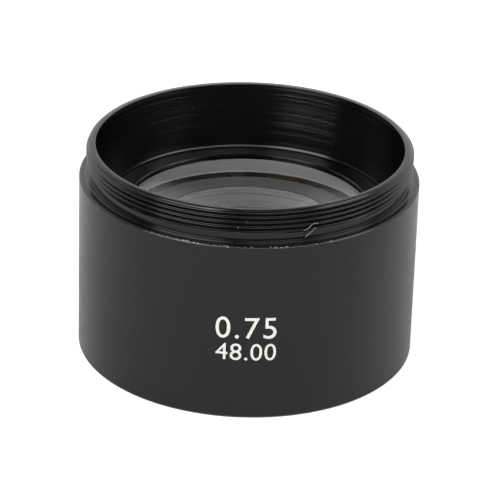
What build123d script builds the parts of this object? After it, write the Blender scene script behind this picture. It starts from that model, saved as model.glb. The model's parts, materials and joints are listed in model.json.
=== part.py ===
from build123d import *
import os
from math import sqrt

os.makedirs("parts", exist_ok=True)

# Reducing lens for a stereo microscope, thread upwards, standing on its front rim.
# Millimetres. The origin is on the optical axis in the plane of the front rim, +Z towards the microscope.

# Mounting thread M48 x 0.75: collar on the shoulder, relief groove, threaded length and lead-in
THREAD_RADIUS = 23.95
THREAD_LENGTH = 3.35
LEAD_IN_CHAMFER = 0.5
COLLAR_HEIGHT = 0.2
RELIEF_DEPTH = 0.45
RELIEF_WIDTH = 1.3

# Grip body below the shoulder
SHOULDER_WIDTH = 1.05
BODY_HEIGHT = 27.25
BASE_CHAMFER = 0.4
SHOULDER_CHAMFER = 0.25

# Tapered light bore, from the rim down to the thread of the retaining ring
RIM_WALL = 1.35
BORE_TAPER = 1.63
RING_LEAD_IN = 0.17
RING_LEAD_IN_HEIGHT = 0.3

# Retaining ring, screwed down on the doublet; its lip overlaps the glass
RING_WALL = 1.5
RING_FIT = 0.05
RING_LIP = 0.75
RING_OVERLAP = 1.35
RING_SKIRT = 1.6
RING_RECESS = 0.05
RING_RUN_OUT = 0.4
RING_CHAMFER = 0.15
SLOT_COUNT = 2
SLOT_WIDTH = 1.6
SLOT_DEPTH = 0.5

# Doublet: a thin meniscus cemented into the hollow face of a biconcave element
LENS_FIT = 0.1
LENS_BEVEL = 0.3
CROWN_CENTRE = 1.9
FLINT_EDGE = 2.35
TOP_CURVATURE = 515.0
CEMENT_CURVATURE = 80.6
CEMENT_THICKNESS = 0.02
REAR_CURVATURE = 80.6
REAR_LAND = 5.5

# Seat that carries the doublet, and the hood that opens from it to the front rim
SEAT_HEIGHT = 13.9
SEAT_WIDTH = 2.0
SEAT_LIP = 0.8
HOOD_WALL = 3.4
HOOD_LAND = 1.2
HOOD_CHAMFER = 0.3

# Radii, from the thread inwards
body_radius = THREAD_RADIUS + SHOULDER_WIDTH
relief_radius = THREAD_RADIUS - RELIEF_DEPTH
bore_radius = THREAD_RADIUS - RIM_WALL
bore_foot_radius = bore_radius - BORE_TAPER
ring_radius = bore_foot_radius - RING_LEAD_IN
pocket_radius = ring_radius - RING_WALL
lens_radius = pocket_radius - LENS_FIT
ring_aperture = lens_radius - RING_OVERLAP
rear_aperture = lens_radius - REAR_LAND
seat_radius = lens_radius - SEAT_WIDTH
hood_radius = body_radius - HOOD_WALL


def sag(curvature, radius):
    """Depth of a spherical surface at a radius from its axis."""
    return curvature - sqrt(curvature**2 - radius**2)


# Heights: outside from the body up, inside from the seat up
collar_top = BODY_HEIGHT + COLLAR_HEIGHT
thread_bottom = collar_top + RELIEF_WIDTH
rim = thread_bottom + THREAD_LENGTH
crown_centre_top = SEAT_HEIGHT + sag(REAR_CURVATURE, rear_aperture) + CROWN_CENTRE
cement_edge = crown_centre_top + sag(CEMENT_CURVATURE, lens_radius)
lens_top = cement_edge + CEMENT_THICKNESS + FLINT_EDGE
ring_top = lens_top + RING_LIP
ring_bottom = lens_top - RING_SKIRT
ring_thread_top = ring_top + RING_RECESS
ring_thread_bottom = ring_bottom - RING_RUN_OUT


def spherical_arc(curvature, edge_radius, edge_height, dished=True):
    """Half section of a spherical surface, from the axis to its edge; dished where the middle lies lower."""
    side = -1 if dished else 1
    middle = edge_height + side * sag(curvature, edge_radius)
    halfway = middle - side * sag(curvature, edge_radius / 2)
    return ThreePointArc((0, middle), (edge_radius / 2, halfway), (edge_radius, edge_height))


# Barrel: one turned piece, with the thread's full diameter as a plain cylinder
with BuildPart() as barrel:
    with BuildSketch(Plane.XZ):
        with BuildLine():
            Polyline(
                (hood_radius, 0),
                (body_radius, 0),
                (body_radius, BODY_HEIGHT),
                (THREAD_RADIUS, BODY_HEIGHT),
                (THREAD_RADIUS, collar_top),
                (relief_radius, collar_top),
                (relief_radius, thread_bottom),
                (THREAD_RADIUS, thread_bottom),
                (THREAD_RADIUS, rim),
                (bore_radius, rim),
                (bore_foot_radius, ring_thread_top + RING_LEAD_IN_HEIGHT),
                (ring_radius, ring_thread_top),
                (ring_radius, ring_thread_bottom),
                (pocket_radius, ring_thread_bottom),
                (pocket_radius, SEAT_HEIGHT),
                (seat_radius, SEAT_HEIGHT),
                (seat_radius, SEAT_HEIGHT - SEAT_LIP),
                (hood_radius, HOOD_LAND),
                close=True,
            )
        make_face()
    revolve(axis=Axis.Z)
    turned_edges = barrel.edges().filter_by(GeomType.CIRCLE)
    foot_edges = turned_edges.group_by(Axis.Z)[0].sort_by(SortBy.RADIUS)
    rim_edges = turned_edges.group_by(Axis.Z)[-1].sort_by(SortBy.RADIUS)
    shoulder_edges = turned_edges.filter_by_position(Axis.Z, BODY_HEIGHT, BODY_HEIGHT).sort_by(SortBy.RADIUS)
    chamfer(foot_edges[-1], BASE_CHAMFER)
    chamfer(foot_edges[0], HOOD_CHAMFER)
    chamfer(shoulder_edges[-1], SHOULDER_CHAMFER)
    chamfer(rim_edges[-1], LEAD_IN_CHAMFER)

# Biconcave crown element, standing on the seat with the flat land round its hollow rear face
with BuildPart() as crown_element:
    with BuildSketch(Plane.XZ):
        with BuildLine():
            front = spherical_arc(CEMENT_CURVATURE, lens_radius, cement_edge)
            rear = spherical_arc(REAR_CURVATURE, rear_aperture, SEAT_HEIGHT, dished=False)
            Polyline(
                front @ 1,
                (lens_radius, SEAT_HEIGHT + LENS_BEVEL),
                (lens_radius - LENS_BEVEL, SEAT_HEIGHT),
                rear @ 1,
            )
            Line(rear @ 0, front @ 0)
        make_face()
    revolve(axis=Axis.Z)

# Flint meniscus, cemented on the crown element
with BuildPart() as flint_element:
    with BuildSketch(Plane.XZ):
        with BuildLine():
            top = spherical_arc(TOP_CURVATURE, lens_radius - LENS_BEVEL, lens_top)
            bottom = spherical_arc(CEMENT_CURVATURE, lens_radius, cement_edge + CEMENT_THICKNESS)
            Polyline(top @ 1, (lens_radius, lens_top - LENS_BEVEL), bottom @ 1)
            Line(bottom @ 0, top @ 0)
        make_face()
    revolve(axis=Axis.Z)

# Retaining ring: a lip that presses on the glass, a skirt round its edge and slots for a pin spanner
with BuildPart() as retaining_ring:
    with BuildSketch(Plane.XZ):
        with BuildLine():
            Polyline(
                (ring_aperture, lens_top),
                (pocket_radius, lens_top),
                (pocket_radius, ring_bottom),
                (ring_radius - RING_FIT, ring_bottom),
                (ring_radius - RING_FIT, ring_top),
                (ring_aperture, ring_top),
                close=True,
            )
        make_face()
    revolve(axis=Axis.Z)
    chamfer(retaining_ring.edges().group_by(Axis.Z)[-1], RING_CHAMFER)
    with BuildSketch(Plane.XY.offset(ring_top)):
        with PolarLocations((ring_aperture + ring_radius) / 2, SLOT_COUNT):
            Rectangle(2 * (ring_radius - ring_aperture), SLOT_WIDTH)
    extrude(amount=-SLOT_DEPTH, mode=Mode.SUBTRACT)

for name, piece in (
    ("barrel", barrel),
    ("crown_element", crown_element),
    ("flint_element", flint_element),
    ("retaining_ring", retaining_ring),
):
    piece.part.label = name
    export_step(piece.part, f"parts/{name}.step")
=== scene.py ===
"""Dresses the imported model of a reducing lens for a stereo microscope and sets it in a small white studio."""

import json
from math import cos, hypot, pi, radians, sin, sqrt, tau

import bmesh
import bpy
from bpy.props import FloatProperty, FloatVectorProperty, IntProperty, PointerProperty
from mathutils import Matrix, Vector

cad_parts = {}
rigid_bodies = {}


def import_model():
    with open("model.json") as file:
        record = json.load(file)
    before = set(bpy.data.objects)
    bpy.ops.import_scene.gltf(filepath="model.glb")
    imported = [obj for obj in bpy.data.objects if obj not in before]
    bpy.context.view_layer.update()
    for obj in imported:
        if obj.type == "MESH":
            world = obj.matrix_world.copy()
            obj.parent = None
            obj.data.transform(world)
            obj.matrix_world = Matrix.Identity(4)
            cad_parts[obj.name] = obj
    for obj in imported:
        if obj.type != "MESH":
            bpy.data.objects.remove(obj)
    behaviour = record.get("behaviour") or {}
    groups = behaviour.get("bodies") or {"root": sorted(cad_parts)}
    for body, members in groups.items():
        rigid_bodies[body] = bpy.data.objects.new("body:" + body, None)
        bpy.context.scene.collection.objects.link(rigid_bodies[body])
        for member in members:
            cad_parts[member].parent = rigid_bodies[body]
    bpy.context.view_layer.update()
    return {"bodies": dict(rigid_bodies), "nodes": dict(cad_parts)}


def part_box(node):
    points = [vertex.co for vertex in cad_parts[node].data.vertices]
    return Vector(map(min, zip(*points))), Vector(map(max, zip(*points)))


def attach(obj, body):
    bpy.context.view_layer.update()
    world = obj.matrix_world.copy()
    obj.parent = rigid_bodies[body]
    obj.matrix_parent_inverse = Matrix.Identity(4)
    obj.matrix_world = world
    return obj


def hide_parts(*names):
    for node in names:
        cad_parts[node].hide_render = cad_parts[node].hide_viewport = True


bl_info = {
    "name": "Reducing Lens",
    "version": (1, 0, 0),
    "blender": (4, 5, 0),
    "location": "3D View > Sidebar > Lens",
    "description": "Dresses a screw-in reducing lens: cut thread, coated doublet, worn black finish and studio",
    "category": "Object",
}

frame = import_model()

MM = 0.001
BODY = next(iter(frame["bodies"]))
PICTURE_SIDE = 500

_, BARREL_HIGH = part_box("barrel")
RING_LOW, RING_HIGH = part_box("retaining_ring")
_, FLINT_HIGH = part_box("flint_element")
CROWN_LOW, CROWN_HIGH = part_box("crown_element")

# Corners closer than this are one, and cuts find corners within this reach
MERGE = 0.0005 * MM
CUT_REACH = 0.0001 * MM

# Turns that are cut before the thread is trimmed to its length
THREAD_TURNS = 7

# Scales of the noise in the finishes, per metre
SPREAD_SCALE = 260.0
GRAIN_SCALE = 5200.0
TURNING_SCALE = 10000.0
CHIP_SCALE = 2600.0
GROUND_GRAIN_SCALE = 6000.0
GROUND_CLOUD_SCALE = 300.0
HAZE_SCALE = 120.0
TORN_SCALE = 9000.0
PAINT_SCALE = 1800.0

# Turning marks follow the height plus this share of the radius, so that flat and conical faces have them too
TURNING_LEAN = 0.83

# Depth of the marks in full, and the share of it on the thread and its groove, in the bore and in the fine grain
MARK_DEPTH = 0.05 * MM
THREAD_MARKS = 0.05
BORE_MARKS = 0.27
GRAIN_MARKS = 0.02

# How far the roughness of the black varies in clouds and in grain, and how much smoother the thread is
CLOUDED_ROUGHNESS = 0.12
GRAINED_ROUGHNESS = 0.1
THREAD_POLISH = 0.1
BLACK_INDEX = 1.42

# Worn edge of the shoulder: depth of its middle, half its width, how far in from the outside and how far to each side
WEAR_DEPTH = 0.1 * MM
WEAR_HALF_WIDTH = 0.12 * MM
WEAR_INSET = 0.25 * MM
WEAR_SIDE = 12 * MM

# Where the turned and the bored faces end: out from the thread's crests, and out from the bore's foot
TURNED_REACH = 0.3 * MM
BORED_REACH = 1.7 * MM

# Glasses, and the coating on their polished faces (thickness in nanometres)
FLINT_INDEX = 1.648
CROWN_INDEX = 1.517
COATING_INDEX = 1.38
COATING = 105.0
BARE = 0.0

# Materials of the doublet's faces, in the order of each element's list
POLISHED, CEMENTED, GROUND, LAND, LINE = range(5)

# Painted figures: name, figures, size, spacing and height of the foot
FIGURES = (
    ("figures_pitch", "0.75", 4.75 * MM, 1.13, 12.95 * MM),
    ("figures_diameter", "48.00", 3.75 * MM, 1.06, 9.5 * MM),
)
FIGURE_TURN = radians(0.7)
FIGURE_HALF_THICKNESS = 0.006 * MM
FIGURE_LIFT = 0.008 * MM
FIGURE_STRIP = 0.4 * MM
FIGURE_STRIPS = 14

# Strands of the torn burr: degrees round from the front and height in millimetres
BURRS = (
    ("burr_low", ((19.72, 27.95), (21.29, 28.42), (22.47, 28.85), (22.77, 29.13), (23.66, 29.01))),
    (
        "burr_high",
        ((19.02, 28.97), (20.54, 29.12), (21.53, 29.57), (22.38, 29.82), (23.25, 29.84), (24.29, 29.74)),
    ),
)
BURR_RADIUS = 0.055 * MM

# Specks: degrees round from the front, height and radius in millimetres
SPECKS = ((-3.21, 29.7, 0.09), (-3.17, 29.01, 0.05), (-0.44, 30.6, 0.05), (18.27, 28.68, 0.05))

# Softboxes a metre away: name, degrees round from the camera's side, degrees up, width and height, brightness
SOFTBOXES = (
    ("left_softbox", -44, 36, (0.8, 0.8), 6.5),
    ("right_softbox", 72, 33, (0.7, 0.65), 4.5),
    ("front_softbox", 20, 43, (0.6, 0.3), 7.0),
)
SENSOR_WIDTH = 36.0

# Light of the walls behind the camera, what is added behind the object, and the share taken away overhead
WALL_LIGHT = 0.15
REAR_LIGHT = 1.05
OVERHEAD_SHADE = 0.96

# Grey of the floor, and the glow that only the camera sees
FLOOR_GREY = 0.65
FLOOR_GLOW = 0.5


def length(name, description, default, **options):
    """A length property, given in millimetres and kept in metres."""
    return FloatProperty(
        name=name, description=description, default=default * MM, unit="LENGTH", precision=5, **options
    )


def colour(name, description, default):
    """A linear colour property."""
    return FloatVectorProperty(
        name=name, description=description, default=default, subtype="COLOR", size=3, min=0.0, max=1.0
    )


def share(name, description, default):
    """A property from nothing to all."""
    return FloatProperty(name=name, description=description, default=default, min=0.0, max=1.0, subtype="FACTOR")


class BarrelSizes(bpy.types.PropertyGroup):
    """Sizes of the turned barrel"""

    steps: IntProperty(name="Steps", description="Divisions of a full turn", default=256, min=32)
    skin: length("Skin", "How far the dressed body stays inside the solid", 0.03)
    edge_round: length("Edge rounding", "Width of the broken edges", 0.08)
    thread_radius: length("Thread radius", "Half of the thread's major diameter", 23.95)
    pitch: length("Pitch", "Rise of the thread in one turn", 0.75)
    thread_depth: length("Thread depth", "From crest to root", 0.45)
    crest_round: length("Crest rounding", "Radius of the thread's crests", 0.07)
    crest_height: length("Crest height", "Height of one crest at the seam of the thread", 30.07)
    thread_low: length("Thread end", "Height of the lowest full flank, above the relief groove", 28.68)
    lead_in: length("Lead-in", "Chamfer at the rim", 0.5)
    seam: length("Seam", "Width of the strips that join the screw surface to the rest", 0.03)
    rim_wall: length("Rim wall", "From the bore to the thread's crests, at the rim", 1.35)
    collar_top: length("Collar top", "Top of the collar on the shoulder", 27.45)
    shoulder: length("Shoulder", "Height of the shoulder", 27.25)
    shoulder_chamfer: length("Shoulder chamfer", "Broken edge of the shoulder", 0.25)
    base_chamfer: length("Base chamfer", "Broken outer edge of the foot", 0.4)
    hood_radius: length("Hood radius", "Radius of the hood's mouth", 21.6)
    hood_chamfer: length("Hood chamfer", "Broken edge of the hood's mouth", 0.3)
    hood_land: length("Hood land", "Straight part of the hood's mouth", 1.2)
    seat_radius: length("Seat radius", "Inner radius of the lens seat", 17.2)
    seat_lip: length("Seat lip", "Thickness of the lens seat", 0.8)
    pocket_fit: length("Pocket clearance", "Gap round the glass", 0.1)
    ring_fit: length("Ring clearance", "Gap round the retaining ring", 0.05)
    run_out: length("Run-out", "Thread run-out below the retaining ring", 0.4)
    bore_foot: length("Bore foot", "Radius of the tapered bore at its foot", 20.97)
    bore_foot_height: length("Bore foot height", "Height of the foot of the tapered bore", 22.75)


class DoubletSizes(bpy.types.PropertyGroup):
    """Sizes of the cemented doublet"""

    steps: IntProperty(name="Steps", description="Divisions of a full turn", default=192, min=32)
    rings: IntProperty(name="Rings", description="Divisions of a lens surface from axis to edge", default=24, min=4)
    bevel: length("Bevel", "Ground bevel of the outer edges", 0.3)
    top_curvature: length("Top curvature", "Radius of curvature of the upper surface", 515.0)
    cement_curvature: length("Cement curvature", "Radius of curvature of the cemented surface", 80.6)
    rear_curvature: length("Rear curvature", "Radius of curvature of the lower surface", 80.6)
    rear_land: length("Rear land", "Width of the flat ground land below", 5.5)
    line: length("Dark line", "Width of the dark line at the cement", 0.1)
    overlap: length("Cement overlap", "How far the two elements share the cement's place", 0.01)


class Finishes(bpy.types.PropertyGroup):
    """Colours and gloss"""

    black: colour("Black", "Black anodised aluminium", (0.0012, 0.0012, 0.0013))
    bare: colour("Bare metal", "Aluminium where the black is worn off", (0.16, 0.16, 0.155))
    paint: colour("Paint", "Filling of the engraved figures", (0.62, 0.60, 0.58))
    ground: colour("Ground glass", "Fine ground edge of the glass", (0.97, 0.955, 0.925))
    land: colour("Land", "Ground land on the seat, darkened", (0.25, 0.247, 0.24))
    rim_line: colour("Rim line", "Blackened edge of the hollow surface", (0.02, 0.02, 0.02))
    gloss: share("Gloss roughness", "Roughness of the black finish", 0.27)


class Studio(bpy.types.PropertyGroup):
    """Camera, floor and lamps"""

    elevation: FloatProperty(
        name="Elevation", description="Camera above the horizon", default=radians(25.702), subtype="ANGLE"
    )
    roll: FloatProperty(name="Roll", description="Turn of the camera", default=radians(1.806), subtype="ANGLE")
    distance: length("Distance", "From the aim to the camera", 424.154)
    aim_side: length("Aim sideways", "Where the camera aims, along X", 0.425)
    aim_height: length("Aim height", "Where the camera aims, along Z", 14.806)
    focal_pixels: FloatProperty(name="Focal length", description="In pixels of the picture", default=2853.8)
    floor_size: length("Floor size", "Side of the floor", 4000.0)


# Shader arithmetic


class Wire:
    """An output socket that takes part in arithmetic."""

    def __init__(self, tree, socket):
        self.tree = tree
        self.socket = socket

    def _math(self, operation, *values):
        return self.tree.node("ShaderNodeMath", {"operation": operation}, dict(enumerate(values)))

    def __add__(self, other):
        return self._math("ADD", self, other)

    def __sub__(self, other):
        return self._math("SUBTRACT", self, other)

    def __rsub__(self, other):
        return self._math("SUBTRACT", other, self)

    def __mul__(self, other):
        return self._math("MULTIPLY", self, other)

    def __abs__(self):
        return self._math("ABSOLUTE", self)

    def root(self):
        return self._math("SQRT", self)

    def above(self, level, softness):
        """From 0 to 1 as the value passes a level, over a soft step."""
        settings = {"interpolation_type": "SMOOTHSTEP"}
        values = {"Value": self, "From Min": level - softness, "From Max": level + softness}
        return self.tree.node("ShaderNodeMapRange", settings, values)

    __radd__ = __add__


class Tree:
    """A node tree that is written as expressions."""

    def __init__(self, tree):
        self.nodes = tree.nodes
        self.links = tree.links
        self.nodes.clear()

    def node(self, kind, settings=None, values=None, output=0):
        """A new node: its settings first, then the values or links of its sockets. Gives one of its outputs."""
        made = self.nodes.new(kind)
        for name, setting in (settings or {}).items():
            setattr(made, name, setting)
        for name, value in (values or {}).items():
            socket = made.inputs[name]
            if isinstance(value, Wire):
                self.links.new(value.socket, socket)
            else:
                socket.default_value = value
        return Wire(self, made.outputs[output])

    def mix(self, factor, first, second):
        """A colour between two."""
        colours = [value if isinstance(value, Wire) else (*value, 1.0) for value in (first, second)]
        values = {0: factor, 6: colours[0], 7: colours[1]}
        return self.node("ShaderNodeMix", {"data_type": "RGBA"}, values, output=2)

    def noise(self, vector, scale, detail=2.0):
        """Cloudy values from 0 to 1."""
        return self.node("ShaderNodeTexNoise", {}, {"Vector": vector, "Scale": scale, "Detail": detail})

    def place(self):
        """Object coordinates, in metres."""
        return self.node("ShaderNodeTexCoord", output="Object")

    def axes(self, vector):
        """The X, Y and Z of a vector."""
        parts = self.node("ShaderNodeSeparateXYZ", {}, {"Vector": vector})
        return [Wire(self, output) for output in parts.socket.node.outputs]

    def surface(self, shader, kind="ShaderNodeOutputMaterial"):
        """Ends the tree in a shader."""
        output = self.nodes.new(kind)
        self.links.new(shader.socket, output.inputs["Surface"])


def new_material(name):
    """A material with an empty node tree."""
    material = bpy.data.materials.new(name)
    material.use_nodes = True
    return material, Tree(material.node_tree)


def black_anodised(finishes, barrel):
    """Fine turned, black anodised aluminium, worn bright along the shoulder's edge."""
    material, tree = new_material("black_anodised")
    place = tree.place()
    across, along, height = tree.axes(place)
    radius = (across * across + along * along).root()
    spread = tree.noise(place, SPREAD_SCALE, 3.0)
    grain = tree.noise(place, GRAIN_SCALE, 2.0)
    rings = tree.node(
        "ShaderNodeTexNoise",
        {"noise_dimensions": "1D"},
        {"W": height + radius * TURNING_LEAN, "Scale": TURNING_SCALE, "Detail": 2.0},
    )
    edge = 1 - abs(height - barrel.shoulder + WEAR_DEPTH).above(WEAR_HALF_WIDTH, 0.06 * MM)
    edge = edge * radius.above(BARREL_HIGH.x - WEAR_INSET, 0.08 * MM)
    front = 1 - abs(across).above(WEAR_SIDE, WEAR_SIDE / 2) * 0.9
    chips = tree.noise(place, CHIP_SCALE, 4.0).above(0.6, 0.06) * edge * front
    turned = 1 - radius.above(barrel.thread_radius + TURNED_REACH, 0.1 * MM)
    bored = (1 - radius.above(barrel.bore_foot + BORED_REACH, 0.05 * MM)) * height.above(RING_LOW.z, 0.1 * MM)
    worn = tree.mix(chips, tuple(finishes.black), tuple(finishes.bare))
    relief = rings * (turned * THREAD_MARKS + bored * BORE_MARKS) + grain * GRAIN_MARKS
    bump = tree.node("ShaderNodeBump", {}, {"Strength": 1.0, "Distance": MARK_DEPTH, "Height": relief})
    roughness = finishes.gloss + (spread - 0.5) * CLOUDED_ROUGHNESS + (grain - 0.5) * GRAINED_ROUGHNESS
    shader = tree.node(
        "ShaderNodeBsdfPrincipled",
        {},
        {
            "Base Color": worn,
            "Roughness": roughness - turned * THREAD_POLISH,
            "Metallic": chips * 0.5,
            "IOR": BLACK_INDEX,
            "Normal": bump,
        },
    )
    tree.surface(shader)
    return material


def coated_glass(name, refraction, film):
    """Polished optical glass; a film thickness in nanometres gives the coating's tint."""
    material, tree = new_material(name)
    place = tree.place()
    haze = tree.noise(place, HAZE_SCALE, 3.0)
    shader = tree.node(
        "ShaderNodeBsdfPrincipled",
        {},
        {
            "Base Color": (1.0, 1.0, 1.0, 1.0),
            "Roughness": haze.above(0.75, 0.3) * 0.01,
            "IOR": refraction,
            "Transmission Weight": 1.0,
            "Thin Film Thickness": film,
            "Thin Film IOR": COATING_INDEX,
        },
    )
    tree.surface(shader)
    return material


def ground_glass(name, tint):
    """Fine ground glass, seen from outside or through the polished faces."""
    material, tree = new_material(name)
    place = tree.place()
    grain = tree.noise(place, GROUND_GRAIN_SCALE, 3.0)
    cloud = tree.noise(place, GROUND_CLOUD_SCALE, 2.0)
    dark = tuple(0.86 * part for part in tint)
    shader = tree.node(
        "ShaderNodeBsdfPrincipled",
        {},
        {
            "Base Color": tree.mix(cloud * 0.6 + grain * 0.4, dark, tint),
            "Roughness": 0.75 + grain * 0.2,
            "IOR": 1.3,
        },
    )
    tree.surface(shader)
    return material


def torn_metal(finishes):
    """Bare metal of a torn burr, dulled."""
    material, tree = new_material("torn_metal")
    place = tree.place()
    grain = tree.noise(place, TORN_SCALE, 3.0)
    light = tuple(1.6 * part for part in finishes.bare)
    dark = tuple(0.4 * part for part in finishes.bare)
    shader = tree.node(
        "ShaderNodeBsdfPrincipled",
        {},
        {"Base Color": tree.mix(grain, dark, light), "Roughness": 0.3 + grain * 0.3, "Metallic": 0.7},
    )
    tree.surface(shader)
    return material


def paint(finishes):
    """Matt paint in the engraved figures."""
    material, tree = new_material("figure_paint")
    place = tree.place()
    patch = tree.noise(place, PAINT_SCALE, 3.0)
    light = tuple(finishes.paint)
    dark = tuple(0.8 * part for part in light)
    shader = tree.node(
        "ShaderNodeBsdfPrincipled", {}, {"Base Color": tree.mix(patch, dark, light), "Roughness": 0.6 + patch * 0.2}
    )
    tree.surface(shader)
    return material


# Mesh making


def profile_wire(bm, points):
    """An open chain of vertices in the XZ plane, from radii and heights."""
    corners = [bm.verts.new((radius, 0.0, height)) for radius, height in points]
    edges = [bm.edges.new(pair) for pair in zip(corners, corners[1:])]
    return corners + edges


def turn_profile(bm, points, steps):
    """Spins a half section a full turn about the optical axis."""
    bmesh.ops.spin(
        bm,
        geom=profile_wire(bm, points),
        cent=(0, 0, 0),
        axis=(0, 0, 1),
        dvec=(0, 0, 0),
        angle=tau,
        steps=steps,
        use_merge=True,
    )


def curve_bmesh(context, curve):
    """The faces of a curve or text as a bmesh."""
    holder = bpy.data.objects.new(curve.name + "_curve", curve)
    context.scene.collection.objects.link(holder)
    context.view_layer.update()
    mesh = bpy.data.meshes.new_from_object(holder.evaluated_get(context.evaluated_depsgraph_get()))
    bpy.data.objects.remove(holder)
    bm = bmesh.new()
    bm.from_mesh(mesh)
    bpy.data.meshes.remove(mesh)
    return bm


def on_crest(crest, turn, height):
    """A place on the thread's crest: degrees round from the front and height in millimetres."""
    return sin(radians(turn)) * crest, -cos(radians(turn)) * crest, height * MM


def arc_points(curvature, radius, edge_height, rings, dished):
    """Radii and heights along a spherical surface, from the axis to its edge."""
    side = -1 if dished else 1
    centre = edge_height - side * sqrt(curvature**2 - radius**2)
    radii = [radius * step / rings for step in range(rings + 1)]
    return [(r, centre + side * sqrt(curvature**2 - r**2)) for r in radii]


def finish_piece(bm, name, materials, sharp_angle):
    """Turns a bmesh into a piece that rides on the body."""
    bmesh.ops.remove_doubles(bm, verts=bm.verts, dist=MERGE)
    bmesh.ops.recalc_face_normals(bm, faces=bm.faces)
    for face in bm.faces:
        face.smooth = True
    for edge in bm.edges:
        edge.smooth = edge.is_manifold and edge.calc_face_angle() < sharp_angle
    mesh = bpy.data.meshes.new(name)
    bm.to_mesh(mesh)
    bm.free()
    for material in materials:
        mesh.materials.append(material)
    piece = bpy.data.objects.new(name, mesh)
    bpy.context.scene.collection.objects.link(piece)
    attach(piece, BODY)
    return piece


def thread_profile(sizes, turns):
    """Half section of a 60 degree thread with round crests and roots, going up."""
    crest = sizes.crest_round
    root = sizes.pitch * sqrt(3) / 2 - crest - sizes.thread_depth
    tooth = [
        (root * sin(radians(turn)) - sizes.pitch / 2, sizes.thread_depth - root + root * cos(radians(turn)))
        for turn in range(0, 61, 20)
    ]
    tooth += [(crest * sin(radians(turn)), crest - crest * cos(radians(turn))) for turn in range(-60, 61, 12)]
    tooth += [
        (sizes.pitch / 2 - root * sin(radians(turn)), sizes.thread_depth - root + root * cos(radians(turn)))
        for turn in range(60, 0, -20)
    ]
    points = []
    for turn in range(turns):
        base = sizes.crest_height + (turn - turns // 2) * sizes.pitch
        points += [(sizes.thread_radius - depth, base + height) for height, depth in tooth]
    return points


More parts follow.
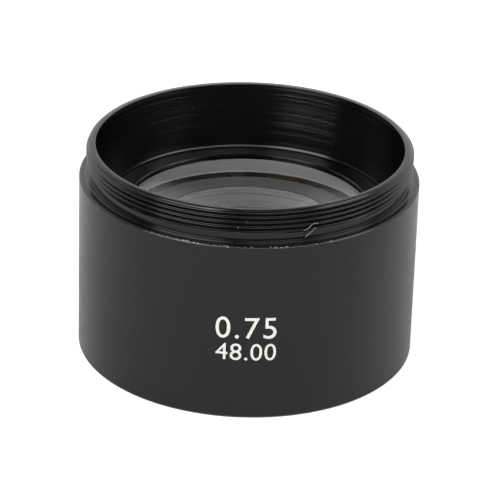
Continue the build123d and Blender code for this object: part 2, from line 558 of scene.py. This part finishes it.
class LENS_OT_barrel(bpy.types.Operator):
    """Turn the barrel and cut its thread"""

    bl_idname = "lens.barrel"
    bl_label = "Barrel"

    def execute(self, context):
        sizes = context.scene.lens_barrel
        bm = bmesh.new()
        self.cut_thread(bm, sizes)
        self.turn_body(bm, sizes)
        self.join_thread(bm, sizes)
        black = black_anodised(context.scene.lens_finishes, sizes)
        piece = finish_piece(bm, "barrel_skin", [black], radians(50))
        weighted = piece.modifiers.new("even_shading", "WEIGHTED_NORMAL")
        weighted.keep_sharp = True
        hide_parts("barrel")
        return {"FINISHED"}

    def seams(self, sizes):
        """Heights at which the screw surface ends, and whether what lies above is cleared."""
        return (sizes.thread_low - sizes.pitch / 4, False), (BARREL_HIGH.z - 2 * sizes.seam, True)

    def cut_thread(self, bm, sizes):
        """A screw surface, trimmed by the lead-in and the relief groove."""
        bmesh.ops.spin(
            bm,
            geom=profile_wire(bm, thread_profile(sizes, THREAD_TURNS)),
            cent=(0, 0, 0),
            axis=(0, 0, 1),
            dvec=(0.0, 0.0, sizes.pitch / sizes.steps),
            angle=tau,
            steps=sizes.steps,
            use_merge=False,
        )
        bmesh.ops.remove_doubles(bm, verts=bm.verts, dist=MERGE)
        root = sizes.thread_radius - sizes.thread_depth
        rim = BARREL_HIGH.z
        for vertex in bm.verts:
            radius = hypot(vertex.co.x, vertex.co.y)
            cone = sizes.thread_radius - sizes.lead_in + rim - vertex.co.z
            run_out = root + max(0.0, vertex.co.z - sizes.thread_low)
            trimmed = min(radius, cone, run_out)
            vertex.co.x *= trimmed / radius
            vertex.co.y *= trimmed / radius
        for height, above in self.seams(sizes):
            bmesh.ops.bisect_plane(
                bm,
                geom=bm.verts[:] + bm.edges[:] + bm.faces[:],
                dist=CUT_REACH,
                plane_co=(0, 0, height),
                plane_no=(0, 0, 1),
                clear_outer=above,
                clear_inner=not above,
            )

    def turn_body(self, bm, sizes):
        """Everything but the thread, from the relief groove down, through the bore and up to the rim."""
        body_radius = BARREL_HIGH.x - sizes.skin
        root = sizes.thread_radius - sizes.thread_depth
        ring_radius = RING_HIGH.x + sizes.ring_fit
        pocket = FLINT_HIGH.x + sizes.pocket_fit
        seat = CROWN_LOW.z
        thread_foot = RING_LOW.z - sizes.run_out
        points = [
            (root, sizes.thread_low - sizes.pitch / 4 - sizes.seam),
            (root, sizes.collar_top),
            (sizes.thread_radius, sizes.collar_top),
            (sizes.thread_radius, sizes.shoulder),
            (body_radius - sizes.shoulder_chamfer, sizes.shoulder),
            (body_radius, sizes.shoulder - sizes.shoulder_chamfer),
            (body_radius, sizes.base_chamfer),
            (body_radius - sizes.base_chamfer, 0.0),
            (sizes.hood_radius + sizes.hood_chamfer, 0.0),
            (sizes.hood_radius, sizes.hood_chamfer),
            (sizes.hood_radius, sizes.hood_land),
            (sizes.seat_radius, seat - sizes.seat_lip),
            (sizes.seat_radius, seat),
            (pocket, seat),
            (pocket, thread_foot),
            (ring_radius, thread_foot),
            (ring_radius, RING_HIGH.z + sizes.ring_fit),
            (sizes.bore_foot, sizes.bore_foot_height),
            (sizes.thread_radius - sizes.rim_wall, BARREL_HIGH.z),
            (sizes.thread_radius - sizes.lead_in, BARREL_HIGH.z),
            (sizes.thread_radius - sizes.lead_in + sizes.seam, BARREL_HIGH.z - sizes.seam),
        ]
        old = set(bm.faces)
        turn_profile(bm, points, sizes.steps)
        corners = {
            edge
            for face in bm.faces
            if face not in old
            for edge in face.edges
            if self.is_corner(edge, sizes)
        }
        bmesh.ops.bevel(
            bm,
            geom=list(corners),
            offset=sizes.edge_round,
            segments=3,
            affect="EDGES",
            profile=0.5,
            material=-1,
        )

    def is_corner(self, edge, sizes):
        """Whether an edge runs round a corner of the section, but for the rim's crisp outer corner."""
        if not edge.is_manifold or edge.calc_face_angle() < radians(15):
            return False
        first, second = (vertex.co for vertex in edge.verts)
        rim_middle = sizes.thread_radius - (sizes.rim_wall + sizes.lead_in) / 2
        crisp = first.z > BARREL_HIGH.z - sizes.seam / 2 and hypot(first.x, first.y) > rim_middle
        return abs(first.z - second.z) < 0.001 * MM and not crisp

    def join_thread(self, bm, sizes):
        """Bridges the screw surface to the groove below and to the rim above."""
        for height, above in self.seams(sizes):
            middle = height + sizes.seam / 2 * (1 if above else -1)
            border = [
                edge
                for edge in bm.edges
                if edge.is_boundary and all(abs(vertex.co.z - middle) < sizes.seam * 0.6 for vertex in edge.verts)
            ]
            bmesh.ops.bridge_loops(bm, edges=border)


class LENS_OT_ring(bpy.types.Operator):
    """Finish the retaining ring in the barrel's black"""

    bl_idname = "lens.ring"
    bl_label = "Retaining ring"

    def execute(self, context):
        ring = frame["nodes"]["retaining_ring"]
        ring.data.materials.clear()
        ring.data.materials.append(bpy.data.materials["black_anodised"])
        return {"FINISHED"}


class LENS_OT_doublet(bpy.types.Operator):
    """Grind the two elements of the cemented doublet"""

    bl_idname = "lens.doublet"
    bl_label = "Doublet"

    def execute(self, context):
        sizes = context.scene.lens_doublet
        finishes = context.scene.lens_finishes
        radius = FLINT_HIGH.x
        cement_edge = CROWN_HIGH.z
        top = FLINT_HIGH.z
        seat = CROWN_LOW.z
        hollow = radius - sizes.rear_land
        edge = ground_glass("ground_edge", tuple(finishes.ground))
        land = ground_glass("ground_land", tuple(finishes.land))
        line = ground_glass("blackened_edge", tuple(finishes.rim_line))
        upper = (
            (arc_points(sizes.top_curvature, radius - sizes.bevel, top, sizes.rings, True), POLISHED),
            ([(radius - sizes.bevel, top), (radius, top - sizes.bevel)], GROUND),
            ([(radius, top - sizes.bevel), (radius, cement_edge - sizes.overlap)], GROUND),
            (arc_points(sizes.cement_curvature, radius, cement_edge - sizes.overlap, sizes.rings, True), CEMENTED),
        )
        lower = (
            (arc_points(sizes.cement_curvature, radius, cement_edge, sizes.rings, True), CEMENTED),
            ([(radius, cement_edge), (radius, cement_edge - sizes.line)], LINE),
            ([(radius, cement_edge - sizes.line), (radius, seat + sizes.bevel)], GROUND),
            ([(radius, seat + sizes.bevel), (radius - sizes.bevel, seat)], GROUND),
            ([(radius - sizes.bevel, seat), (hollow + 2 * sizes.line, seat)], LAND),
            ([(hollow + 2 * sizes.line, seat), (hollow, seat)], LINE),
            (arc_points(sizes.rear_curvature, hollow, seat, sizes.rings, False), POLISHED),
        )
        flint = [
            coated_glass("flint_polished", FLINT_INDEX, COATING),
            coated_glass("flint_cemented", FLINT_INDEX, BARE),
            edge,
        ]
        crown = [
            coated_glass("crown_polished", CROWN_INDEX, COATING),
            coated_glass("crown_cemented", CROWN_INDEX, BARE),
            edge,
            land,
            line,
        ]
        for name, node, sections, materials in (
            ("flint_glass", "flint_element", upper, flint),
            ("crown_glass", "crown_element", lower, crown),
        ):
            bm = bmesh.new()
            for points, index in sections:
                old = set(bm.faces)
                turn_profile(bm, points, sizes.steps)
                for face in bm.faces:
                    if face not in old:
                        face.material_index = index
            piece = finish_piece(bm, name, materials, radians(20))
            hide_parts(node)
        return {"FINISHED"}


class LENS_OT_figures(bpy.types.Operator):
    """Write the plain figures on the front of the barrel"""

    bl_idname = "lens.figures"
    bl_label = "Figures"

    def execute(self, context):
        sizes = context.scene.lens_barrel
        material = paint(context.scene.lens_finishes)
        radius = BARREL_HIGH.x - sizes.skin
        for name, body, size, spacing, height in FIGURES:
            curve = bpy.data.curves.new(name, "FONT")
            curve.body = body
            curve.size = size
            curve.space_character = spacing
            curve.align_x = "CENTER"
            curve.extrude = FIGURE_HALF_THICKNESS
            bm = curve_bmesh(context, curve)
            bmesh.ops.remove_doubles(bm, verts=bm.verts, dist=MERGE)
            for cut in range(-FIGURE_STRIPS, FIGURE_STRIPS + 1):
                bmesh.ops.bisect_plane(
                    bm,
                    geom=bm.verts[:] + bm.edges[:] + bm.faces[:],
                    dist=CUT_REACH,
                    plane_co=(cut * FIGURE_STRIP, 0, 0),
                    plane_no=(1, 0, 0),
                )
            for vertex in bm.verts:
                turn = vertex.co.x / radius + FIGURE_TURN
                out = radius + FIGURE_LIFT + vertex.co.z
                vertex.co = (out * sin(turn), -out * cos(turn), height + vertex.co.y)
            finish_piece(bm, name, [material], radians(30))
        return {"FINISHED"}


class LENS_OT_marks(bpy.types.Operator):
    """Lay a torn burr and a few specks on the thread"""

    bl_idname = "lens.marks"
    bl_label = "Marks"

    def execute(self, context):
        bare = torn_metal(context.scene.lens_finishes)
        crest = context.scene.lens_barrel.thread_radius
        for name, places in BURRS:
            curve = bpy.data.curves.new(name, "CURVE")
            curve.dimensions = "3D"
            curve.bevel_depth = BURR_RADIUS
            curve.use_fill_caps = True
            line = curve.splines.new("POLY")
            line.points.add(len(places) - 1)
            for point, (turn, height) in zip(line.points, places):
                point.co = (*on_crest(crest, turn, height), 1.0)
            bm = curve_bmesh(context, curve)
            finish_piece(bm, name, [bare], radians(60))
        bm = bmesh.new()
        for turn, height, size in SPECKS:
            place = Matrix.Translation(on_crest(crest, turn, height))
            bmesh.ops.create_icosphere(bm, subdivisions=2, radius=size * MM, matrix=place)
        finish_piece(bm, "specks", [bare], radians(60))
        return {"FINISHED"}


class LENS_OT_studio(bpy.types.Operator):
    """Set up the floor, the lamps and the camera"""

    bl_idname = "lens.studio"
    bl_label = "Studio"

    def execute(self, context):
        studio = context.scene.lens_studio
        self.add_floor(context, studio)
        self.light_world(context)
        for name, azimuth, elevation, size, brightness in SOFTBOXES:
            self.add_lamp(context, name, radians(azimuth), radians(elevation), size, brightness)
        self.add_camera(context, studio)
        context.scene.view_settings.view_transform = "Standard"
        return {"FINISHED"}

    def add_floor(self, context, studio):
        """A pale floor that shows white to the camera and keeps the shadow."""
        bm = bmesh.new()
        bmesh.ops.create_grid(bm, x_segments=1, y_segments=1, size=studio.floor_size / 2)
        mesh = bpy.data.meshes.new("floor")
        bm.to_mesh(mesh)
        bm.free()
        floor = bpy.data.objects.new("floor", mesh)
        context.scene.collection.objects.link(floor)
        material, tree = new_material("pale_floor")
        seen = tree.node("ShaderNodeLightPath", output="Is Camera Ray")
        shader = tree.node(
            "ShaderNodeBsdfPrincipled",
            {},
            {
                "Base Color": (FLOOR_GREY, FLOOR_GREY, FLOOR_GREY, 1.0),
                "Roughness": 0.9,
                "Specular IOR Level": 0.0,
                "Emission Color": (1.0, 1.0, 1.0, 1.0),
                "Emission Strength": seen * FLOOR_GLOW,
            },
        )
        tree.surface(shader)
        mesh.materials.append(material)

    def light_world(self, context):
        """Even light, white to the camera; brighter behind the object and dark overhead."""
        world = bpy.data.worlds.new("studio_walls")
        world.use_nodes = True
        context.scene.world = world
        tree = Tree(world.node_tree)
        camera = tree.node("ShaderNodeLightPath", output="Is Camera Ray")
        direction = tree.node("ShaderNodeTexCoord", output="Generated")
        _, along, height = tree.axes(direction)
        rear = along.above(0.1, 0.4)
        overhead = height.above(0.68, 0.16)
        wall = (rear * REAR_LIGHT + WALL_LIGHT) * (1 - overhead * OVERHEAD_SHADE)
        strength = camera + (1 - camera) * wall
        background = tree.node("ShaderNodeBackground", {}, {"Color": (1.0, 1.0, 1.0, 1.0), "Strength": strength})
        tree.surface(background, "ShaderNodeOutputWorld")

    def add_lamp(self, context, name, azimuth, elevation, size, brightness):
        """A softbox a metre away that points at the object; its azimuth counts from the camera's side."""
        place = Vector((sin(azimuth) * cos(elevation), -cos(azimuth) * cos(elevation), sin(elevation)))
        lamp = bpy.data.lights.new(name, "AREA")
        lamp.shape = "RECTANGLE"
        lamp.size, lamp.size_y = size
        lamp.energy = brightness * pi * size[0] * size[1]
        holder = bpy.data.objects.new(name, lamp)
        holder.location = place
        holder.rotation_euler = (-place).to_track_quat("-Z", "Y").to_euler()
        context.scene.collection.objects.link(holder)

    def add_camera(self, context, studio):
        """The camera of the photograph."""
        camera = bpy.data.cameras.new("camera")
        camera.sensor_width = SENSOR_WIDTH
        camera.lens = camera.sensor_width * studio.focal_pixels / PICTURE_SIDE
        camera.clip_start = 0.01
        holder = bpy.data.objects.new("camera", camera)
        back = Vector((0, -cos(studio.elevation), sin(studio.elevation)))
        up = Vector((0, sin(studio.elevation), cos(studio.elevation)))
        side = Vector((1, 0, 0))
        right = cos(studio.roll) * side + sin(studio.roll) * up
        upright = cos(studio.roll) * up - sin(studio.roll) * side
        place = Vector((studio.aim_side, 0, studio.aim_height)) + back * studio.distance
        turn = Matrix((right, upright, back)).transposed().to_4x4()
        holder.matrix_world = Matrix.Translation(place) @ turn
        context.scene.collection.objects.link(holder)
        context.scene.camera = holder


class LENS_PT_panel(bpy.types.Panel):
    """Lists the pieces of the lens"""

    bl_idname = "LENS_PT_panel"
    bl_label = "Reducing Lens"
    bl_space_type = "VIEW_3D"
    bl_region_type = "UI"
    bl_category = "Lens"

    def draw(self, context):
        for operator in OPERATORS:
            self.layout.operator(operator.bl_idname)


GROUPS = (BarrelSizes, DoubletSizes, Finishes, Studio)
SETTINGS = ("lens_barrel", "lens_doublet", "lens_finishes", "lens_studio")
OPERATORS = (LENS_OT_barrel, LENS_OT_ring, LENS_OT_doublet, LENS_OT_figures, LENS_OT_marks, LENS_OT_studio)


def register():
    """Adds the settings, the operators and the panel."""
    for item in (*GROUPS, *OPERATORS, LENS_PT_panel):
        bpy.utils.register_class(item)
    for name, group in zip(SETTINGS, GROUPS):
        setattr(bpy.types.Scene, name, PointerProperty(type=group))


def unregister():
    """Takes them away again."""
    for name in SETTINGS:
        delattr(bpy.types.Scene, name)
    for item in reversed((*GROUPS, *OPERATORS, LENS_PT_panel)):
        bpy.utils.unregister_class(item)


def main():
    """Builds every piece and the studio."""
    register()
    bpy.ops.lens.barrel()
    bpy.ops.lens.ring()
    bpy.ops.lens.doublet()
    bpy.ops.lens.figures()
    bpy.ops.lens.marks()
    bpy.ops.lens.studio()
    bpy.context.view_layer.update()


if __name__ == "__main__":
    main()
